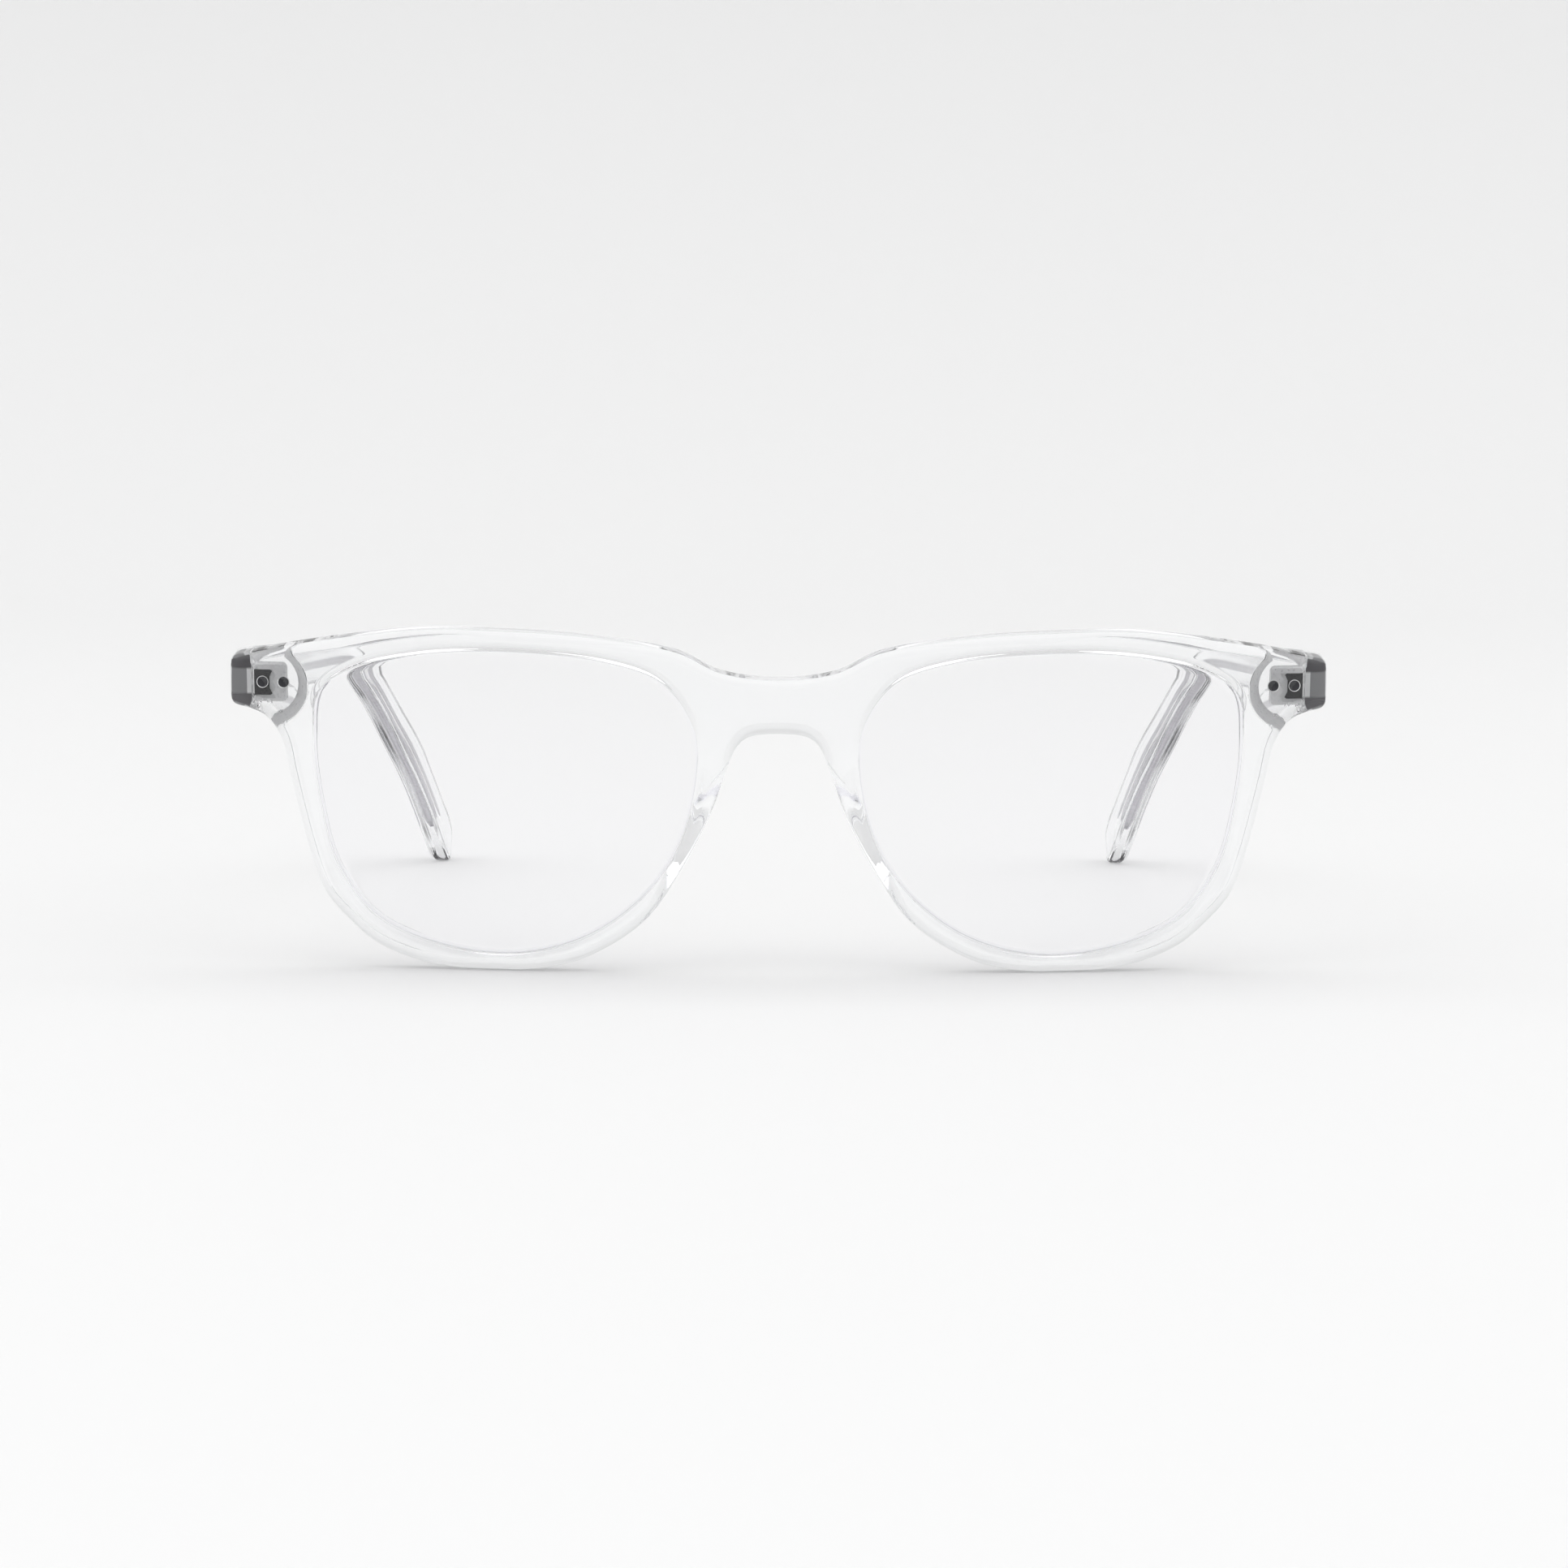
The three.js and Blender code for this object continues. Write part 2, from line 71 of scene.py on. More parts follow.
# Outline of the front, one half, as u across and v up
TOP_EDGE = [(0, 38.3), (7.4, 39.2), (12.6, 41.7), (24.9, 43.6), (36, 44.1), (45, 44), (57, 42.4),
            (69.9, 39.8)]
OUTER_EDGE = [(70, 33.5), (67.3, 33), (65.2, 32), (63.3, 29), (62.4, 24.7), (59.7, 13.6), (58, 9.2),
              (55, 5.8), (51.5, 2.9), (45.4, 0.6), (41, 0)]
NASAL_EDGE = [(33, 0), (29.6, 0.4), (24.4, 1.9), (17.1, 6.7), (12.35, 13.5), (8.45, 21.2),
              (6, 28.2), (5.2, 29.85), (3.85, 31), (0, 31.4)]
LENS_OPENING = [(35.5, 41.5), (46.4, 40.7), (54.4, 38.6), (58.5, 35.5), (59.3, 29.2), (58.5, 21),
                (56.4, 12.9), (51.9, 6.7), (44.4, 3.2), (34.4, 2), (25.9, 3.9), (19.4, 7.85),
                (14.35, 13.5), (11.4, 20.25), (10.2, 28.4), (11.1, 33.1), (14.8, 37.9), (21.85, 40.4)]


# ---------------------------------------------------------------- outlines

def spline(points, steps, closed=False):
    """Centripetal Catmull-Rom through the points, with some steps to each stretch."""
    p = [np.array(q, float) for q in points]
    if closed:
        p = [p[-1], *p, p[0], p[1]]
    else:
        p = [2 * p[0] - p[1], *p, 2 * p[-1] - p[-2]]
    out = []
    for a, b, c, d in zip(p, p[1:], p[2:], p[3:]):
        t1 = np.linalg.norm(b - a) ** 0.5
        t2 = t1 + np.linalg.norm(c - b) ** 0.5
        t3 = t2 + np.linalg.norm(d - c) ** 0.5
        for t in np.linspace(t1, t2, steps, endpoint=False):
            ab = (t1 - t) / t1 * a + t / t1 * b
            bc = (t2 - t) / (t2 - t1) * b + (t - t1) / (t2 - t1) * c
            cd = (t3 - t) / (t3 - t2) * c + (t - t2) / (t3 - t2) * d
            abc = (t2 - t) / t2 * ab + t / t2 * bc
            bcd = (t3 - t) / (t3 - t1) * bc + (t - t1) / (t3 - t1) * cd
            out.append((t2 - t) / (t2 - t1) * abc + (t - t1) / (t2 - t1) * bcd)
    if not closed:
        out.append(p[-2])
    return np.array(out)


def flipped(points):
    return [(-u, v) for u, v in reversed(points)]


def resampled(loop, spacing):
    """A closed loop with even spacing."""
    ring = np.vstack([loop, loop[:1]])
    length = np.concatenate([[0], np.cumsum(np.linalg.norm(np.diff(ring, axis=0), axis=1))])
    count = int(length[-1] / spacing)
    at = np.linspace(0, length[-1], count, endpoint=False)
    return np.stack([np.interp(at, length, ring[:, 0]), np.interp(at, length, ring[:, 1])], axis=1)


def softened(loop, passes):
    for _ in range(passes):
        loop = loop / 2 + (np.roll(loop, 1, axis=0) + np.roll(loop, -1, axis=0)) / 4
    return loop


def front_outline(spacing):
    loop = np.vstack([
        spline(flipped(TOP_EDGE) + TOP_EDGE[1:], 12),
        spline(OUTER_EDGE, 12),
        spline(NASAL_EDGE + flipped(NASAL_EDGE)[1:], 12),
        spline(flipped(OUTER_EDGE), 12),
    ])
    return softened(resampled(loop, spacing), 8)


def lens_outline(spacing, side=1):
    return resampled(spline(LENS_OPENING, 12, closed=True) * np.array([side, 1]), spacing)


def outward(loop):
    """Unit normals of a closed loop that point away from what it encloses."""
    along = np.roll(loop, -1, axis=0) - np.roll(loop, 1, axis=0)
    along /= np.linalg.norm(along, axis=1)[:, None]
    normal = np.stack([along[:, 1], -along[:, 0]], axis=1)
    x, y = loop.T
    area = np.sum(x * np.roll(y, -1) - np.roll(x, -1) * y)
    return normal if area > 0 else -normal


def distance(points, loop):
    """Distance of each point to a closed loop."""
    a, b = loop, np.roll(loop, -1, axis=0)
    ab = b - a
    best = np.full(len(points), 1e9)
    for start in range(0, len(points), 2000):
        p = points[start:start + 2000, None, :]
        t = np.clip(((p - a) * ab).sum(2) / (ab ** 2).sum(1), 0, 1)
        gap = np.linalg.norm(p - (a + t[..., None] * ab), axis=2)
        best[start:start + 2000] = gap.min(1)
    return best


def inside(points, loop):
    x, y = points[:, 0], points[:, 1]
    count = np.zeros(len(points), int)
    for (x0, y0), (x1, y1) in zip(loop, np.roll(loop, -1, axis=0)):
        crosses = (y0 > y) != (y1 > y)
        at = x0 + (y - y0) * (x1 - x0) / (y1 - y0 if y1 != y0 else 1e-12)
        count += crosses & (x < at)
    return count % 2 == 1


def rounded_section(half_x, half_y, radius, corner_steps=5):
    """Rounded oblong, anticlockwise, as pairs."""
    radius = min(radius, half_x * 0.999, half_y * 0.999)
    out = []
    for quarter in range(4):
        sx = 1 if quarter in (0, 3) else -1
        sy = 1 if quarter in (0, 1) else -1
        for k in range(corner_steps + 1):
            a = (quarter + k / corner_steps) * math.pi / 2
            out.append((sx * (half_x - radius) + radius * math.cos(a),
                        sy * (half_y - radius) + radius * math.sin(a)))
    return out


# ---------------------------------------------------------------- the bent, leaned front

def face_depth(u, behind):
    """Depth of the sheet at u, some way behind its front face."""
    return BEND_RADIUS - np.sqrt((BEND_RADIUS - behind) ** 2 - u ** 2)


def placed(u, v, w):
    """Front coordinates to metres in the frame."""
    y = w * math.cos(TILT) - v * math.sin(TILT)
    z = w * math.sin(TILT) + v * math.cos(TILT)
    return np.stack([u + SHIFT[0], y + SHIFT[1], z + SHIFT[2]], axis=-1) * MM


def eased(low, high, value):
    t = np.clip((value - low) / (high - low), 0, 1)
    return t * t * (3 - 2 * t)


# What the lean of the front adds to the height at the depth of the boss and of the pocket
BOSS_LEAN = 1.84
POCKET_LEAN = 1.75
BOSS_U = 65.1
BOSS_V = (BOSS_Z - BOSS_LEAN) / math.cos(TILT)
BOSS_RADIUS = 4.1
# The slope round the boss runs from outside its outline to just inside it.
BOSS_SLOPE = 1.1
BOSS_SHOULDER = 0.1
POCKET_U = 64.8
POCKET_V = (HINGE_LOCAL[2] - POCKET_LEAN) / math.cos(TILT)
POCKET_HALF = (2.2, 2.45)
POCKET_CORNER = 0.6
POCKET_DEPTH = 1.3
POCKET_CLEARANCE = 0.3
RING_SPACING = 0.22
PAD_LOW = 8.5
PAD_LENGTH = 19.5
PAD_WIDTH = 2.6
PAD_HEIGHT = 4.2
PAD_FADE = (21, 17)


def boss_margin(u, v):
    """How far inside the hinge boss a point is. The boss is a round-ended block."""
    along = np.maximum(BOSS_U - np.abs(u), 0)
    return BOSS_RADIUS - np.hypot(along, v - BOSS_V)


def pocket_margin(u, v):
    """How far inside the leaf's pocket a point is. The pocket is a rounded oblong."""
    du = np.abs(np.abs(u) - POCKET_U) - POCKET_HALF[0] + POCKET_CORNER
    dv = np.abs(v - POCKET_V) - POCKET_HALF[1] + POCKET_CORNER
    outside = np.hypot(np.maximum(du, 0), np.maximum(dv, 0))
    return POCKET_CORNER - (outside + np.minimum(np.maximum(du, dv), 0))


def boss_rings():
    """Points along the boss's slope, in rings that follow it."""
    points = []
    for rise in np.linspace(-BOSS_SHOULDER - 0.1, BOSS_SLOPE + 0.15, 18):
        radius = BOSS_RADIUS + rise
        for a in np.linspace(math.pi / 2, math.pi * 1.5, 56):
            points.append((BOSS_U + radius * math.cos(a), BOSS_V + radius * math.sin(a)))
        for u in np.arange(BOSS_U + RING_SPACING, OUTER_EDGE[0][0], RING_SPACING):
            points.extend(((u, BOSS_V + radius), (u, BOSS_V - radius)))
    return [p for p in points if abs(pocket_margin(*p)) > POCKET_CLEARANCE]


def pocket_rings():
    """Points along the pocket's steep edge."""
    points = []
    for grow in (-0.14, -0.08, -0.03, 0.02, 0.07, 0.12, 0.2):
        half_u, half_v = POCKET_HALF[0] + grow, POCKET_HALF[1] + grow
        corner = POCKET_CORNER + grow
        for du, dv in resampled(np.array(rounded_section(half_u, half_v, corner)), 0.16):
            points.append((POCKET_U + du, POCKET_V + dv))
    return points


def pad_height(u, v):
    """Built-on nose pad: a ridge along the rim whose face slopes down to the nose side."""
    nasal = np.interp(v, NASAL_V, NASAL_U)
    across = np.clip((np.abs(u) - nasal) / PAD_WIDTH, 0, 1)
    rise = np.sin(np.pi * np.clip((v - PAD_LOW) / PAD_LENGTH, 0, 1)) ** 2
    return PAD_HEIGHT * rise * across ** 0.8 * eased(*PAD_FADE, np.abs(u))


def rear_depth(u, v):
    """Depth of the back of the front, with its bosses, pockets and nose pads."""
    w = face_depth(u, THICKNESS)
    plane = (BOSS_REAR + v * math.sin(TILT)) / math.cos(TILT)
    boss = np.clip((BOSS_SLOPE + boss_margin(u, v)) / (BOSS_SLOPE + BOSS_SHOULDER), 0, 1)
    w = w + (np.maximum(plane, w) - w) * boss
    w = w - np.maximum(w - plane + POCKET_DEPTH, 0) * eased(-0.04, 0.1, pocket_margin(u, v))
    return w + pad_height(u, v)


def rounding(gap, across, deep):
    """How far a rounded edge falls below its face, at a gap from the edge."""
    t = np.clip(1 - gap / across, 0, 1)
    return deep * (1 - np.sqrt(1 - t * t))


NASAL_V, NASAL_U = zip(*[(v, u) for u, v in NASAL_EDGE[1:-1]])
OUTER_ROUND = (1.25, 0.85)
OPENING_ROUND = (0.75, 0.5)
RING_STEPS = (0, 0.02, 0.07, 0.15, 0.27, 0.42, 0.6, 0.78, 0.92, 1.0, 1.12)
RING_CLEARANCE = 0.15
GROOVE_HALF = 0.55
GROOVE_DEPTH = 0.45
GRID_PITCH = 0.85
FINE = 0.34


def solid_area(points, outer, openings):
    """Which points are inside the outline and outside both openings."""
    return inside(points, outer) & ~inside(points, openings[0]) & ~inside(points, openings[1])


def edge_gaps(points, outer, openings):
    """Distance of each point to the outline, and to the nearer opening."""
    return distance(points, outer), np.minimum(*[distance(points, o) for o in openings])


def inner_points(outer, openings):
    """Mesh points away from the edges: a triangular grid, closer along the bosses and pockets."""
    grid = []
    for j, v in enumerate(np.arange(0, 45, GRID_PITCH * 0.866)):
        for u in np.arange(-70, 70.1, GRID_PITCH):
            grid.append((u + (j % 2) * GRID_PITCH / 2, v))
    grid = np.array(grid)
    rise = -boss_margin(*grid.T)
    edge = np.abs(pocket_margin(*grid.T))
    grid = grid[((rise < -BOSS_SHOULDER - 0.3) | (rise > BOSS_SLOPE + 0.4)) & (edge > 0.35)]
    rings = np.array(boss_rings() + pocket_rings())
    grid = np.vstack([grid, rings, rings * (-1, 1)])
    gap_outer, gap_opening = edge_gaps(grid, outer, openings)
    reach = RING_STEPS[-1]
    keep = solid_area(grid, outer, openings)
    keep &= gap_outer > OUTER_ROUND[0] * reach + RING_CLEARANCE
    keep &= gap_opening > OPENING_ROUND[0] * reach + RING_CLEARANCE
    return grid[keep]


def band(columns):
    """Faces that join closed columns of points one to the next."""
    faces = []
    for a, b in zip(columns, columns[1:]):
        n = len(a)
        for i in range(n):
            j = (i + 1) % n
            faces.append((a[i], a[j], b[j], b[i]))
    return faces


def front_mesh():
    outer = front_outline(FINE)
    openings = [lens_outline(FINE, side) for side in (1, -1)]
    loops = [(outer, -1, OUTER_ROUND[0]), *[(o, 1, OPENING_ROUND[0]) for o in openings]]
    points, edges, boundary = [], [], []
    for loop, sign, across in loops:
        normal = outward(loop) * sign
        for k, step in enumerate(RING_STEPS):
            ring = loop + normal * across * step
            start = len(points)
            points.extend(ring)
            if k == 0:
                n = len(ring)
                boundary.append((start, n))
                edges.extend((start + i, start + (i + 1) % n) for i in range(n))
    points = np.vstack([np.array(points), inner_points(outer, openings)])
    # A ring point that has come too near another edge is left out.
    gap_outer, gap_opening = edge_gaps(points, outer, openings)
    is_boundary = np.zeros(len(points), bool)
    for start, n in boundary:
        is_boundary[start:start + n] = True
    region = solid_area(points, outer, openings)
    keep = is_boundary | (region & (np.minimum(gap_outer, gap_opening) > 0.008))
    index = np.cumsum(keep) - 1
    points = points[keep]
    edges = [(int(index[a]), int(index[b])) for a, b in edges]
    boundary = [[int(index[start + i]) for i in range(n)] for start, n in boundary]
    result = delaunay_2d_cdt([Vector(p) for p in points], edges, [], 0, 1e-5)
    flat, _, triangles, origin = result[:4]
    new_index = {}
    for new, olds in enumerate(origin):
        for old in olds:
            new_index[old] = new
    flat = np.array([tuple(p) for p in flat])
    middles = np.array([flat[list(t)].mean(0) for t in triangles])
    solid = solid_area(middles, outer, openings)
    triangles = [t for t, s in zip(triangles, solid) if s]
    u, v = flat.T
    gap_outer, gap_opening = edge_gaps(flat, outer, openings)
    drop = np.maximum(rounding(gap_outer, *OUTER_ROUND), rounding(gap_opening, *OPENING_ROUND))
    near = face_depth(u, 0) + drop
    far = rear_depth(u, v) - drop
    count = len(flat)
    verts = list(placed(u, v, near)) + list(placed(u, v, far))
    faces = [tuple(t) for t in triangles] + [tuple(i + count for i in reversed(t)) for t in triangles]
    for which, ring in enumerate(boundary):
        ring = [new_index[i] for i in ring]
        columns = [ring]
        # The first boundary is the plain outer edge; the others are lens openings, with a groove.
        if which:
            middle = face_depth(u, THICKNESS / 2)
            away = outward(flat[ring])
            for a in np.radians(np.linspace(-90, 90, 11)):
                start = len(verts)
                spot = flat[ring] + away * GROOVE_DEPTH * math.cos(a)
                depth = (middle + GROOVE_HALF * math.sin(a))[ring]
                verts.extend(placed(spot[:, 0], spot[:, 1], depth))
                columns.append(list(range(start, start + len(ring))))
        columns.append([i + count for i in ring])
        faces.extend(band(columns))
    frosted_and_lit_faces = frosted_and_painted_light_faces(flat, triangles)
    used = sorted({i for f in faces for i in f})
    remap = {old: new for new, old in enumerate(used)}
    return [verts[i] for i in used], [tuple(remap[i] for i in f) for f in faces], frosted_and_lit_faces


def frosted_and_painted_light_faces(flat, triangles):
    """Faces on the back that get the whitish material: the boss's slope, as painted light, and the pocket,
    as its frosted cut finish, but for the window by the dark block.
    """
    middles = np.array([flat[list(t)].mean(0) for t in triangles])
    u, v = np.abs(middles[:, 0]), middles[:, 1]
    window = (u > 64.3) & (np.abs(v - POCKET_V) < 1.8)
    slope = (boss_margin(u, v) > -BOSS_SLOPE) & (boss_margin(u, v) < BOSS_SHOULDER) & (u < 67)
    # The boss's slope gets the whitish material as painted light; the pocket gets it as its frosted cut
    # finish.
    cut = ((pocket_margin(u, v) > -0.1) & ~window) | slope
    return [i + len(triangles) for i in np.nonzero(cut)[0]]


# ---------------------------------------------------------------- making objects

def make(name, verts, faces, material, body, replaces=(), sharp=35):
    mesh = bpy.data.meshes.new(name)
    mesh.from_pydata([tuple(map(float, p)) for p in verts], [], faces)
    mesh.validate()
    shape = bmesh.new()
    shape.from_mesh(mesh)
    bmesh.ops.recalc_face_normals(shape, faces=shape.faces)
    shape.to_mesh(mesh)
    shape.free()
    mesh.shade_smooth()
    mesh.set_sharp_from_angle(angle=math.radians(sharp))
    mesh.materials.append(material)
    obj = bpy.data.objects.new(name, mesh)
    bpy.context.scene.collection.objects.link(obj)
    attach(obj, body)
    if replaces:
        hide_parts(*replaces)
    return obj


# ---------------------------------------------------------------- materials

def node_material(name):
    material = bpy.data.materials.new(name)
    material.use_nodes = True
    return material, material.node_tree, material.node_tree.nodes["Principled BSDF"]


def add_node(tree, kind, **values):
    node = tree.nodes.new(kind)
    for key, value in values.items():
        if key in node.inputs:
            node.inputs[key].default_value = value
        else:
            setattr(node, key, value)
    return node


def acetate_material():
    material, tree, shader = node_material("crystal_acetate")
    shader.inputs["Base Color"].default_value = (0.985, 0.99, 0.995, 1)
    shader.inputs["Transmission Weight"].default_value = 1
    shader.inputs["IOR"].default_value = 1.49
    where = add_node(tree, "ShaderNodeTexCoord")
    smear = add_node(tree, "ShaderNodeTexNoise", Scale=140.0, Detail=3.0)
    tree.links.new(where.outputs["Object"], smear.inputs["Vector"])
    range_ = add_node(tree, "ShaderNodeMapRange")
    range_.inputs["From Min"].default_value = 0.35
    range_.inputs["From Max"].default_value = 0.75
    range_.inputs["To Min"].default_value = 0.0
    range_.inputs["To Max"].default_value = 0.03
    tree.links.new(smear.outputs["Fac"], range_.inputs["Value"])
    tree.links.new(range_.outputs["Result"], shader.inputs["Roughness"])
    return material


def frosted_and_painted_light_material():
    """Matt whitish acetate: the frosted finish the cutter leaves in the pocket, and painted light on the
    boss's slope.
    """
    material, tree, shader = node_material("frosted_and_painted_light_acetate")
    shader.inputs["Transmission Weight"].default_value = 0.15
    shader.inputs["IOR"].default_value = 1.49
    where = add_node(tree, "ShaderNodeTexCoord")
    swirl = add_node(tree, "ShaderNodeTexNoise", Scale=2600.0, Detail=4.0)
    tree.links.new(where.outputs["Object"], swirl.inputs["Vector"])
    tint = add_node(tree, "ShaderNodeMix", data_type="RGBA")
    tint.inputs["A"].default_value = (0.78, 0.78, 0.80, 1)
    tint.inputs["B"].default_value = (1.0, 1.0, 1.0, 1)
    tree.links.new(swirl.outputs["Fac"], tint.inputs["Factor"])
    tree.links.new(tint.outputs["Result"], shader.inputs["Base Color"])
    matt = add_node(tree, "ShaderNodeMapRange")
    matt.inputs["To Min"].default_value = 0.15
    matt.inputs["To Max"].default_value = 0.5
    tree.links.new(swirl.outputs["Fac"], matt.inputs["Value"])
    tree.links.new(matt.outputs["Result"], shader.inputs["Roughness"])
    return material


def within(tree, source, low, high, soft):
    """One between two values and nought outside them, with soft ends."""
    both = add_node(tree, "ShaderNodeMath", operation="MULTIPLY")
    for k, (start, end) in enumerate(((low - soft, low + soft), (high + soft, high - soft))):
        ramp = add_node(tree, "ShaderNodeMapRange")
        ramp.inputs["From Min"].default_value = start
        ramp.inputs["From Max"].default_value = end
        tree.links.new(source, ramp.inputs["Value"])
        tree.links.new(ramp.outputs["Result"], both.inputs[k])
    return both.outputs["Value"]


# Upright stripes of painted light and shade in the painted window on the temple's end, as inner edge, outer
# edge and colour
END_PAINTED_HIGHLIGHT = (0.95, 0.95, 0.95, 1)
END_PAINTED_SHADE_GREY = (0.28, 0.28, 0.29, 1)
END_PAINTED_LIGHT_STRIPES = [(67.0, 67.85, END_PAINTED_HIGHLIGHT), (67.85, 69.0, END_PAINTED_SHADE_GREY), (69.05, 69.2, END_PAINTED_HIGHLIGHT)]


def painted_light_and_shade_end_material():
    """The temple's front end face, all painted light and shade: near-black painted shade, with a paler
    painted window and a bright painted highlight line.
    """
    material, tree, shader = node_material("temple_end_painted_light_and_shade")
    shader.inputs["Roughness"].default_value = 0.35
    where = add_node(tree, "ShaderNodeTexCoord")
    split = add_node(tree, "ShaderNodeSeparateXYZ")
    tree.links.new(where.outputs["Object"], split.inputs[0])
    across = add_node(tree, "ShaderNodeMath", operation="ABSOLUTE")
    tree.links.new(split.outputs["X"], across.inputs[0])
    # Painted shade: the end face's near-black colour, varied by noise.
    painted_shade_noise = add_node(tree, "ShaderNodeTexNoise", Scale=1800.0, Detail=5.0)
    tree.links.new(where.outputs["Object"], painted_shade_noise.inputs["Vector"])
    tint = add_node(tree, "ShaderNodeMix", data_type="RGBA")
    tint.inputs["A"].default_value = (0.010, 0.008, 0.012, 1)
    tint.inputs["B"].default_value = (0.060, 0.052, 0.068, 1)
    tree.links.new(painted_shade_noise.outputs["Fac"], tint.inputs["Factor"])
    colour = tint.outputs["Result"]
    # Height of the painted window, where the stripes of painted light and shade lie.
    middle = (TEMPLE_Z + SHIFT[2]) * MM
    tall = within(tree, split.outputs["Z"], middle - 1.3 * MM, middle + 1.9 * MM, 0.15 * MM)
    for low, high, paint_colour in END_PAINTED_LIGHT_STRIPES:
        wide = within(tree, across.outputs["Value"], low * MM, high * MM, 0.05 * MM)
        mask = add_node(tree, "ShaderNodeMath", operation="MULTIPLY")
        tree.links.new(tall, mask.inputs[0])
        tree.links.new(wide, mask.inputs[1])
        layer = add_node(tree, "ShaderNodeMix", data_type="RGBA")
        layer.inputs["B"].default_value = paint_colour
        tree.links.new(mask.outputs["Value"], layer.inputs["Factor"])
        tree.links.new(colour, layer.inputs["A"])
        colour = layer.outputs["Result"]
    tree.links.new(colour, shader.inputs["Base Color"])
    return material


def lens_material():
    material, tree, shader = node_material("coated_lens")
    shader.inputs["Transmission Weight"].default_value = 1
    shader.inputs["IOR"].default_value = 1.12
    shader.inputs["Roughness"].default_value = 0.0
    rim = add_node(tree, "ShaderNodeLayerWeight", Blend=0.3)
    ramp = add_node(tree, "ShaderNodeMix", data_type="RGBA")
    ramp.inputs["A"].default_value = (0.975, 0.975, 0.98, 1)
    ramp.inputs["B"].default_value = (0.90, 0.89, 0.985, 1)
    tree.links.new(rim.outputs["Facing"], ramp.inputs["Factor"])
    tree.links.new(ramp.outputs["Result"], shader.inputs["Base Color"])
    return material


def steel_material(name, colour, rough, metal=1.0):
    material, tree, shader = node_material(name)
    shader.inputs["Metallic"].default_value = metal
    where = add_node(tree, "ShaderNodeTexCoord")
    stretch = add_node(tree, "ShaderNodeMapping", Scale=(3000, 3000, 400))
    grain = add_node(tree, "ShaderNodeTexNoise", Scale=1.0, Detail=4.0)
    tree.links.new(where.outputs["Object"], stretch.inputs["Vector"])
    tree.links.new(stretch.outputs["Vector"], grain.inputs["Vector"])
    tint = add_node(tree, "ShaderNodeMix", data_type="RGBA")
    tint.inputs["A"].default_value = (*[c * 0.75 for c in colour], 1)
    tint.inputs["B"].default_value = (*[min(c * 1.25, 1) for c in colour], 1)
    tree.links.new(grain.outputs["Fac"], tint.inputs["Factor"])
    tree.links.new(tint.outputs["Result"], shader.inputs["Base Color"])
    spread = add_node(tree, "ShaderNodeMapRange")
    spread.inputs["To Min"].default_value = rough * 0.7
    spread.inputs["To Max"].default_value = rough * 1.3
    tree.links.new(grain.outputs["Fac"], spread.inputs["Value"])
    tree.links.new(spread.outputs["Result"], shader.inputs["Roughness"])
    return material


ACETATE = acetate_material()
FROSTED_AND_PAINTED_LIGHT = frosted_and_painted_light_material()
PAINTED_LIGHT_AND_SHADE_END = painted_light_and_shade_end_material()
LENS = lens_material()
HINGE_STEEL = steel_material("hinge_steel", (0.93, 0.93, 0.94), 0.5, 0.3)
# Near-black steel of the hinge block: painted shade.
HINGE_PAINTED_SHADE_STEEL = steel_material("hinge_painted_shade_steel", (0.014, 0.014, 0.016), 0.3)
# Near-black steel of the rivet heads: painted shade.
RIVET_PAINTED_SHADE_STEEL = steel_material("rivet_steel", (0.05, 0.05, 0.055), 0.35)
WIRE_STEEL = steel_material("core_wire", (0.74, 0.73, 0.76), 0.35)


# ---------------------------------------------------------------- front

def paint(obj, material, faces):
    """Gives some faces a second material."""
    obj.data.materials.append(material)
    slot = len(obj.data.materials) - 1
    for i in faces:
        obj.data.polygons[int(i)].material_index = slot


def add_front():
    verts, faces, frosted_and_lit_faces = front_mesh()
    obj = make("clear_front", verts, faces, ACETATE, "front",
               ("front_frame", "nose_pad_left", "nose_pad_right"))
    # Whitish faces on the back: painted light on the boss's slope, frosted finish in the pocket.
    paint(obj, FROSTED_AND_PAINTED_LIGHT, frosted_and_lit_faces)


LENS_RINGS = (0.0, 0.12, 0.25, 0.38, 0.5, 0.62, 0.73, 0.83, 0.91, 0.96)
LENS_HALF = 0.95
LENS_SAG = 1.1
TONGUE_RADIUS = 0.42
TONGUE_BACK = 0.12


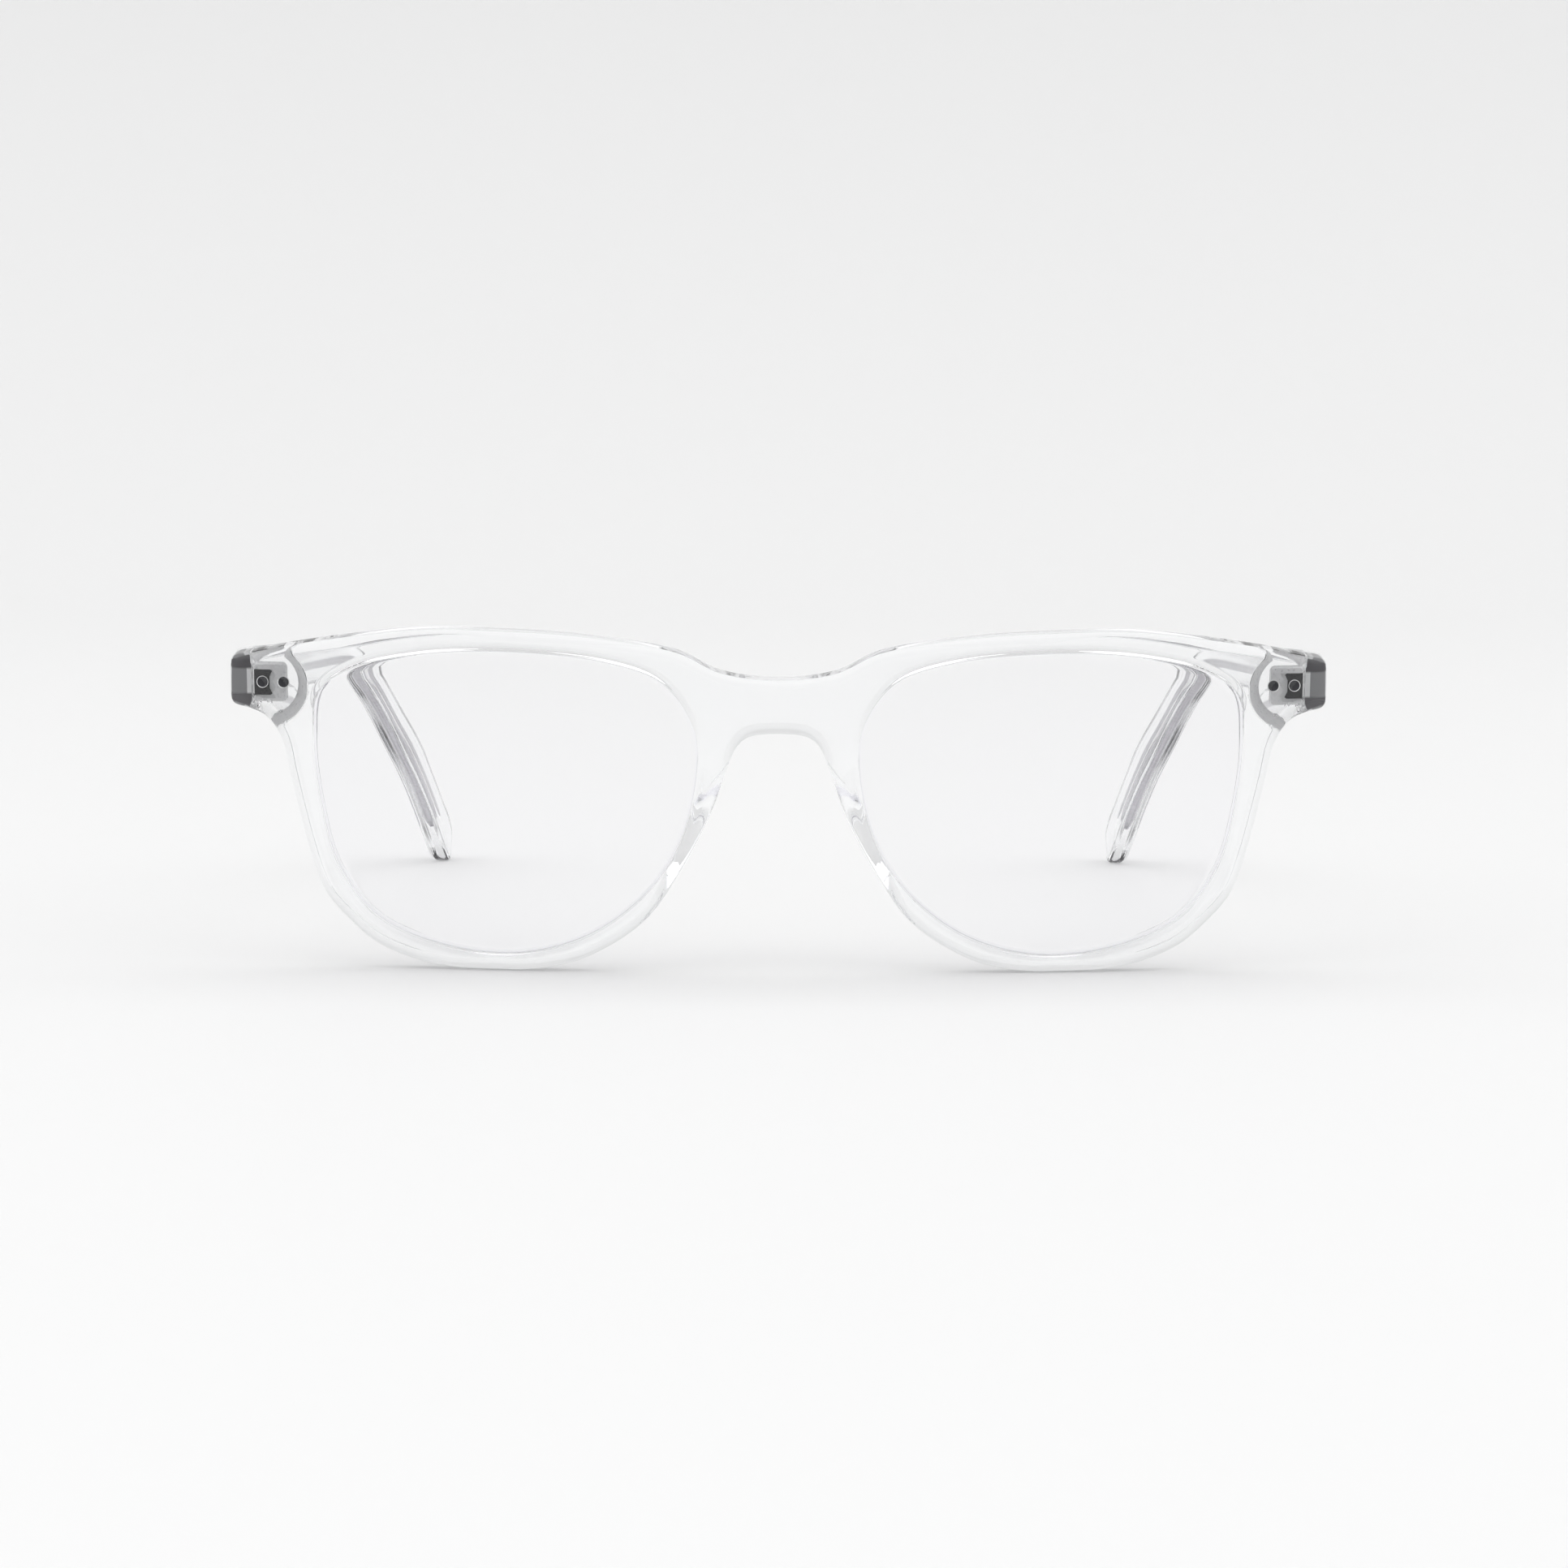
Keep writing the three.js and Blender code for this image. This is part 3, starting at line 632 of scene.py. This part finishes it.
def add_lens(side, name):
    """Coated lens: its rim sits in the groove, and both faces share one gentle curve."""
    outline = lens_outline(FINE, side)
    centre = outline.mean(0)
    verts, faces = [], []
    n = len(outline)
    per_face = 1 + n * (len(LENS_RINGS) - 1)
    for face in (-1, 1):
        for k, r in enumerate(LENS_RINGS):
            ring = centre + (outline - centre) * r if k else centre[None]
            sag = LENS_SAG * (1 - r * r)
            depth = face_depth(ring[:, 0], THICKNESS / 2) + face * LENS_HALF - sag
            verts.extend(placed(ring[:, 0], ring[:, 1], depth))
    for base in (0, per_face):
        for i in range(n):
            faces.append((base, base + 1 + i, base + 1 + (i + 1) % n))
        for k in range(len(LENS_RINGS) - 2):
            a = base + 1 + k * n
            for i in range(n):
                j = (i + 1) % n
                faces.append((a + i, a + j, a + n + j, a + n + i))
    # The rim: in from both faces, then a rounded tongue in the groove.
    grow = outward(outline)
    columns = [[per_face - n + i for i in range(n)]]
    profile = [(-0.35, -0.9), (-0.18, -0.78)]
    profile += [(-TONGUE_BACK + TONGUE_RADIUS * math.cos(a), TONGUE_RADIUS * math.sin(a))
                for a in np.radians(np.linspace(-80, 80, 9))]
    profile += [(-0.18, 0.78), (-0.35, 0.9)]
    for push, offset in profile:
        start = len(verts)
        ring = outline + grow * push
        verts.extend(placed(ring[:, 0], ring[:, 1], face_depth(outline[:, 0], THICKNESS / 2) + offset))
        columns.append(list(range(start, start + n)))
    columns.append([2 * per_face - n + i for i in range(n)])
    faces.extend(band(columns))
    return make(name.replace("lens", "clear_lens"), verts, faces, LENS, "front", (name,), 60)


add_front()
for side, name in ((1, "left"), (-1, "right")):
    add_lens(side, f"lens_{name}")

# ---------------------------------------------------------------- temples

def row(x, y, z):
    """Frame point in metres from millimetres in the glasses' own axes."""
    return (np.array([x, y, z], float) + SHIFT) * MM


TEMPLE_FRONT = HINGE_LOCAL[1] - TEMPLE_TO_AXIS
TEMPLE_MIDDLE_X = HINGE_LOCAL[0] + HINGE_TO_TEMPLE + TEMPLE_THICKNESS / 2
TEMPLE_PATH = [(y, TEMPLE_Z - TEMPLE_FALL * (y - TEMPLE_FRONT)) for y in (TEMPLE_FRONT, 25, 50, 72, 88)]
TEMPLE_PATH += [(97, 34.6), (105, 30.4), (114, 23.8), (123, 17), (136.2, 5.2)]
TEMPLE_PLAN = [(TEMPLE_FRONT, 0), (22, 0), (40, 0), (70, -1.2), (97, -4.2), (106, -6.4), (122, -10.6),
               (142, -15)]
TEMPLE_HALF = [(TEMPLE_FRONT, 3.35), (25, 3.2), (50, 2.9), (88, 2.6), (97, 2.6), (105, 2.9), (114, 3.3),
               (123, 3.7), (136, 3.9)]


TIP_LENGTH = 5.6
TIP_POWER = 2.6
END_TRIM = 0.3


def temple_rings(count):
    """Even stations along the temple: point, direction in the side view, half height."""
    path = spline(TEMPLE_PATH, 16)
    ahead = path[-1] - path[-2]
    path = np.vstack([path, path[-1] + ahead / np.linalg.norm(ahead) * 5.4])
    length = np.concatenate([[0], np.cumsum(np.linalg.norm(np.diff(path, axis=0), axis=1))])
    at = np.linspace(0, length[-1], count)
    tip = 1 - np.geomspace(1, 0.004, 18)
    tip_start = length[-1] - TIP_LENGTH
    at = np.concatenate([at[at < tip_start], tip_start + TIP_LENGTH * tip])
    spots = np.stack([np.interp(at, length, path[:, k]) for k in (0, 1)], axis=1)
    ahead = np.stack([np.interp(at + 0.6, length, path[:, k]) for k in (0, 1)], axis=1)
    back = np.stack([np.interp(at - 0.6, length, path[:, k]) for k in (0, 1)], axis=1)
    along = ahead - back
    along /= np.linalg.norm(along, axis=1)[:, None]
    left = length[-1] - at
    half = np.interp(spots[:, 0], *zip(*TEMPLE_HALF))
    plan = spline(TEMPLE_PLAN, 10)
    across = np.interp(spots[:, 0], plan[:, 0], plan[:, 1])
    return spots, along, half, across, left


def loft(rings):
    """Closed skin over rings of equal size."""
    n = len(rings[0])
    verts = [p for ring in rings for p in ring]
    faces = []
    for k in range(len(rings) - 1):
        for i in range(n):
            j = (i + 1) % n
            faces.append((k * n + i, k * n + j, (k + 1) * n + j, (k + 1) * n + i))
    faces.append(tuple(range(n)))
    faces.append(tuple(range(len(verts) - 1, len(verts) - n - 1, -1)))
    return verts, faces


def add_temple(side, name):
    spots, along, half, across, left = temple_rings(150)
    rings = []
    for (y, z), (dy, dz), h, dx, rest in zip(spots, along, half, across, left):
        fall = (1 - np.clip(1 - rest / TIP_LENGTH, 0, 1) ** TIP_POWER) ** (1 / TIP_POWER)
        start = y - TEMPLE_FRONT
        trim = END_TRIM * (1 - math.sqrt(1 - (1 - min(start / END_TRIM, 1)) ** 2))
        half_t = (TEMPLE_THICKNESS / 2 - 0.1 * eased(60, 130, y)) * (0.35 + 0.65 * fall) - trim
        ring = []
        for a, b in rounded_section(half_t, max(h * fall - trim, 0.05), 0.8):
            ring.append(row(side * (TEMPLE_MIDDLE_X + dx + a), y - dz * b, z + dy * b))
        rings.append(ring)
    verts, faces = loft(rings)
    obj = make(f"clear_temple_{name}", verts, faces, ACETATE, f"temple_{name}",
               (f"temple_{name}",), 40)
    # The temple's front end face gets the painted shade and painted highlights.
    paint(obj, PAINTED_LIGHT_AND_SHADE_END, [len(faces) - 2])


WIRE_END = 9
WIRE_RADIUS = 0.55
WIRE_SIDES = 14
# The wire lies a little outside the temple's middle and starts a little behind its front end.
WIRE_OUT = 0.2
WIRE_BACK = 0.25


def add_core_wire(side, name):
    spots, along, _, across, left = temple_rings(110)
    rings = []
    for (y, z), (dy, dz), dx, rest in zip(spots, along, across, left):
        if rest < WIRE_END:
            break
        taper = min(1, (rest - WIRE_END) / 3 + 0.3)
        ring = []
        for k in range(WIRE_SIDES):
            a = 2 * math.pi * k / WIRE_SIDES
            x = TEMPLE_MIDDLE_X + WIRE_OUT + dx + WIRE_RADIUS * taper * math.cos(a)
            up = WIRE_RADIUS * taper * math.sin(a)
            ring.append(row(side * x, y + WIRE_BACK - dz * up, z + dy * up))
        rings.append(ring)
    verts, faces = loft(rings)
    return make(f"core_wire_{name}", verts, faces, WIRE_STEEL, f"temple_{name}",
                (f"temple_core_wire_{name}",))


# ---------------------------------------------------------------- hinges and rivets

def joined(*shapes):
    verts, faces = [], []
    for more, these in shapes:
        faces.extend(tuple(i + len(verts) for i in f) for f in these)
        verts.extend(more)
    return verts, faces


def plate(low, high, axis, corner, bevel):
    """Rounded plate, flat across an axis, with softened edges. Corners are in glasses millimetres."""
    a, b = [k for k in range(3) if k != axis]
    middle = [(low[k] + high[k]) / 2 for k in range(3)]
    size = [(high[k] - low[k]) / 2 for k in range(3)]
    half = size[axis]
    rings = []
    for at, inset in ((-half, bevel), (-half + bevel, 0), (half - bevel, 0), (half, bevel)):
        ring = []
        for p, q in rounded_section(size[a] - inset, size[b] - inset, max(corner - inset, 0.02)):
            spot = list(middle)
            spot[axis] += at
            spot[a] += p
            spot[b] += q
            ring.append(spot)
        rings.append(ring)
    return loft(rings)


def lathe(profile, centre, axis, sides=40, ring=False):
    """Turned shape from radius, height pairs along an axis. A ring's profile closes on itself."""
    a, b = [k for k in range(3) if k != axis]
    rings = []
    for radius, height in profile:
        circle = []
        for k in range(sides):
            t = 2 * math.pi * k / sides
            spot = list(centre)
            spot[axis] += height
            spot[a] += radius * math.cos(t)
            spot[b] += radius * math.sin(t)
            circle.append(spot)
        rings.append(circle)
    verts, faces = loft(rings)
    if ring:
        faces = faces[:-2]
        n, last = sides, (len(rings) - 1) * sides
        faces.extend((last + i, last + (i + 1) % n, (i + 1) % n, i) for i in range(n))
    return verts, faces


def to_frame(shape, side):
    verts, faces = shape
    return [row(side * x, y, z) for x, y, z in verts], faces


STACK = BARREL_COUNT * BARREL_HEIGHT + (BARREL_COUNT - 1) * BARREL_GAP
BARREL_BORE = 0.62
BARREL_BEVEL = 0.07
LEAF_HALF_HEIGHT = 2.35
LEAF_CORNER = 0.8
LEAF_BEVEL = 0.12
# How far the leaf stands out of the temple's inner face, so that the two faces do not share a plane
LEAF_PROUD = 0.05


def barrel(index):
    z = HINGE_LOCAL[2] - STACK / 2 + index * (BARREL_HEIGHT + BARREL_GAP)
    e = BARREL_BEVEL
    h = BARREL_HEIGHT
    mouth = 0.68
    profile = [(BARREL_BORE, e), (mouth, 0), (BARREL_RADIUS - e, 0), (BARREL_RADIUS, e),
               (BARREL_RADIUS, h - e), (BARREL_RADIUS - e, h), (mouth, h), (BARREL_BORE, h - e)]
    return z, lathe(profile, (HINGE_LOCAL[0], HINGE_LOCAL[1], z), 2, ring=True)


def add_front_leaf(side, name):
    x, y, z = HINGE_LOCAL
    low = (62.7, BOSS_REAR - LEAF_THICKNESS, z - LEAF_HALF_HEIGHT)
    high = (66.85, BOSS_REAR, z + LEAF_HALF_HEIGHT)
    shapes = [plate(low, high, 1, LEAF_CORNER, LEAF_BEVEL)]
    for index in (1, 3):
        z0, ring = barrel(index)
        shapes.append(ring)
        for reach in (-1, 1):
            shapes.append(plate((x + reach * 0.87 - 0.23, BOSS_REAR - 0.2, z0 + 0.01),
                                (x + reach * 0.87 + 0.23, y, z0 + BARREL_HEIGHT - 0.01), 2, 0.05, 0.04))
    verts, faces = to_frame(joined(*shapes), side)
    return make(f"steel_front_leaf_{name}", verts, faces, HINGE_STEEL, "front",
                (f"front_hinge_leaf_{name}",))


def add_hinge_block(side, name):
    """Raised block on the front of the leaf, round the outer rivet, with its inner corners cut, in
    near-black steel that is painted shade.
    """
    z = HINGE_LOCAL[2]
    outline = [(66.85, 1.65), (64.75, 1.65), (64.5, 1.45), (64.85, 0.75), (64.85, -0.75), (64.5, -1.45),
               (64.75, -1.65), (66.85, -1.65)]
    rings = [[(x, BOSS_REAR - depth, z + up) for x, up in outline] for depth in (0.8, 1.2)]
    verts, faces = to_frame(loft(rings), side)
    return make(f"painted_shade_block_{name}", verts, faces, HINGE_PAINTED_SHADE_STEEL, "front")


def add_temple_leaf(side, name):
    x, y, z = HINGE_LOCAL
    inner = x + HINGE_TO_TEMPLE
    low = (inner - LEAF_PROUD, TEMPLE_FRONT + 0.35, z - LEAF_HALF_HEIGHT)
    high = (inner + LEAF_THICKNESS, TEMPLE_FRONT + 9.95, z + LEAF_HALF_HEIGHT)
    shapes = [plate(low, high, 0, LEAF_CORNER, LEAF_BEVEL)]
    for index in (0, 2, 4):
        z0, ring = barrel(index)
        shapes.append(ring)
        for reach in (-1, 1):
            at = y + reach * 0.85
            shapes.append(plate((x, at - 0.2, z0 + 0.01),
                                (inner + 0.3, at + 0.2, z0 + BARREL_HEIGHT - 0.01), 2, 0.05, 0.04))
    verts, faces = to_frame(joined(*shapes), side)
    return make(f"steel_temple_leaf_{name}", verts, faces, HINGE_STEEL, f"temple_{name}",
                (f"temple_hinge_leaf_{name}",))


# Domed head in near-black painted shade, then a lip painted bright steel as a painted highlight, as radius
# and height from the top
RIVET_PROFILE_HEAD = [(0.02, 0.0), (0.3, 0.01), (0.55, 0.04), (0.66, 0.09), (0.68, 0.12), (0.76, 0.11),
                      (0.78, 0.16), (0.78, 0.62), (0.5, 0.66)]
RIVET_HIGHLIGHT_LIP = (4, 5)
RIVET_SIDES = 32


def add_front_rivet(side, name, which, x):
    z = HINGE_LOCAL[2]
    # The head lies in the front face, so find that face's depth here.
    w = face_depth(x, 0)
    v = (z - w * math.sin(TILT)) / math.cos(TILT)
    y = w * math.cos(TILT) - v * math.sin(TILT) - 0.03
    profile = RIVET_PROFILE_HEAD + [(0.5, BOSS_REAR - y), (0.02, BOSS_REAR - y + 0.02)]
    verts, faces = to_frame(lathe(profile, (x, y, z), 1, RIVET_SIDES), side)
    obj = make(f"rivet_{which}_{name}", verts, faces, RIVET_PAINTED_SHADE_STEEL, "front",
               (f"front_rivet_{which}_{name}",))
    # The rivet's near-black head is painted shade; its lip gets bright steel as a painted highlight.
    paint(obj, HINGE_STEEL, rivet_painted_highlight_faces())


def rivet_painted_highlight_faces():
    return [k * RIVET_SIDES + i for k in RIVET_HIGHLIGHT_LIP for i in range(RIVET_SIDES)]


def add_temple_rivet(side, name, which, y, z):
    outer = HINGE_LOCAL[0] + HINGE_TO_TEMPLE + TEMPLE_THICKNESS + 0.03
    profile = [(r, -h) for r, h in RIVET_PROFILE_HEAD]
    profile += [(0.5, -TEMPLE_THICKNESS + 0.1), (0.02, -TEMPLE_THICKNESS + 0.08)]
    verts, faces = to_frame(lathe(profile, (outer, y, z), 0, RIVET_SIDES), side)
    obj = make(f"temple_pin_{which}_{name}", verts, faces, RIVET_PAINTED_SHADE_STEEL, f"temple_{name}",
               (f"temple_rivet_{which}_{name}",))
    # The pin's near-black head is painted shade; its lip gets bright steel as a painted highlight.
    paint(obj, HINGE_STEEL, rivet_painted_highlight_faces())


# Where the rivets are: across the front, and behind and above the hinge on the temple
FRONT_RIVETS = [("outer", 65.7), ("inner", 62.96)]
TEMPLE_RIVETS = [("front", 3.6, 1.55), ("rear", 6.4, -1.55)]

for side, name in ((1, "left"), (-1, "right")):
    add_temple(side, name)
    add_core_wire(side, name)
    add_front_leaf(side, name)
    add_hinge_block(side, name)
    add_temple_leaf(side, name)
    for which, x in FRONT_RIVETS:
        add_front_rivet(side, name, which, x)
    for which, behind, above in TEMPLE_RIVETS:
        add_temple_rivet(side, name, which, HINGE_LOCAL[1] + behind, HINGE_LOCAL[2] + above)
    for spot in frame["nodes"][f"hinge_screw_{name}"].material_slots:
        spot.material = HINGE_STEEL


# ---------------------------------------------------------------- table, light and camera

WORLD_LOW, WORLD_TOP, WORLD_BEHIND = 0.75, 1.35, 0.6
TABLE_COLOUR = (0.85, 0.85, 0.85, 1)


def table_material():
    material, _, shader = node_material("pale_table")
    shader.inputs["Base Color"].default_value = TABLE_COLOUR
    shader.inputs["Roughness"].default_value = 0.6
    return material


def add_sweep():
    """Pale table that curves up into the backdrop."""
    depth, radius, height, half = 0.9, 0.5, 2.2, 2.5
    line = [(-2.0, 0.0), (depth, 0.0)]
    line += [(depth + radius * math.sin(a), radius - radius * math.cos(a))
             for a in np.linspace(0, math.pi / 2, 24)[1:]]
    line.append((depth + radius, height))
    verts = [(x, y, z) for y, z in line for x in (-half, half)]
    faces = [(2 * i, 2 * i + 1, 2 * i + 3, 2 * i + 2) for i in range(len(line) - 1)]
    mesh = bpy.data.meshes.new("table_sweep")
    mesh.from_pydata(verts, [], faces)
    mesh.shade_smooth()
    obj = bpy.data.objects.new("table_sweep", mesh)
    bpy.context.scene.collection.objects.link(obj)
    mesh.materials.append(table_material())


def add_world():
    """Soft white room: brightest overhead, with a dim zone low behind the camera."""
    world = bpy.data.worlds.new("studio")
    bpy.context.scene.world = world
    world.use_nodes = True
    tree = world.node_tree
    back = tree.nodes["Background"]
    where = tree.nodes.new("ShaderNodeTexCoord")
    split = tree.nodes.new("ShaderNodeSeparateXYZ")
    tree.links.new(where.outputs["Generated"], split.inputs[0])
    up = tree.nodes.new("ShaderNodeMapRange")
    up.interpolation_type = "SMOOTHSTEP"
    for key, value in (("From Min", 0.1), ("From Max", 0.6), ("To Min", WORLD_LOW), ("To Max", WORLD_TOP)):
        up.inputs[key].default_value = value
    tree.links.new(split.outputs["Z"], up.inputs["Value"])
    behind = tree.nodes.new("ShaderNodeMapRange")
    behind.interpolation_type = "SMOOTHSTEP"
    for key, value in (("From Min", -0.95), ("From Max", -0.55), ("To Min", WORLD_BEHIND), ("To Max", 1.0)):
        behind.inputs[key].default_value = value
    tree.links.new(split.outputs["Y"], behind.inputs["Value"])
    both = tree.nodes.new("ShaderNodeMath")
    both.operation = "MULTIPLY"
    tree.links.new(up.outputs["Result"], both.inputs[0])
    tree.links.new(behind.outputs["Result"], both.inputs[1])
    tree.links.new(both.outputs[0], back.inputs["Strength"])
    back.inputs["Color"].default_value = (1, 1, 1, 1)


CAMERA_PLACE = (0.00058, -0.5845, 0.069)
CAMERA_TURN = (85.08, -0.22, 0)


def add_camera():
    camera = bpy.data.cameras.new("camera")
    camera.lens = 94
    camera.sensor_width = 36
    camera.clip_start = 0.01
    obj = bpy.data.objects.new("camera", camera)
    bpy.context.scene.collection.objects.link(obj)
    obj.location = CAMERA_PLACE
    obj.rotation_euler = [math.radians(a) for a in CAMERA_TURN]
    bpy.context.scene.camera = obj


add_sweep()
add_world()
add_camera()
scene = bpy.context.scene
scene.view_settings.view_transform = "Standard"
scene.cycles.max_bounces = 24
scene.cycles.transmission_bounces = 24
scene.cycles.glossy_bounces = 8
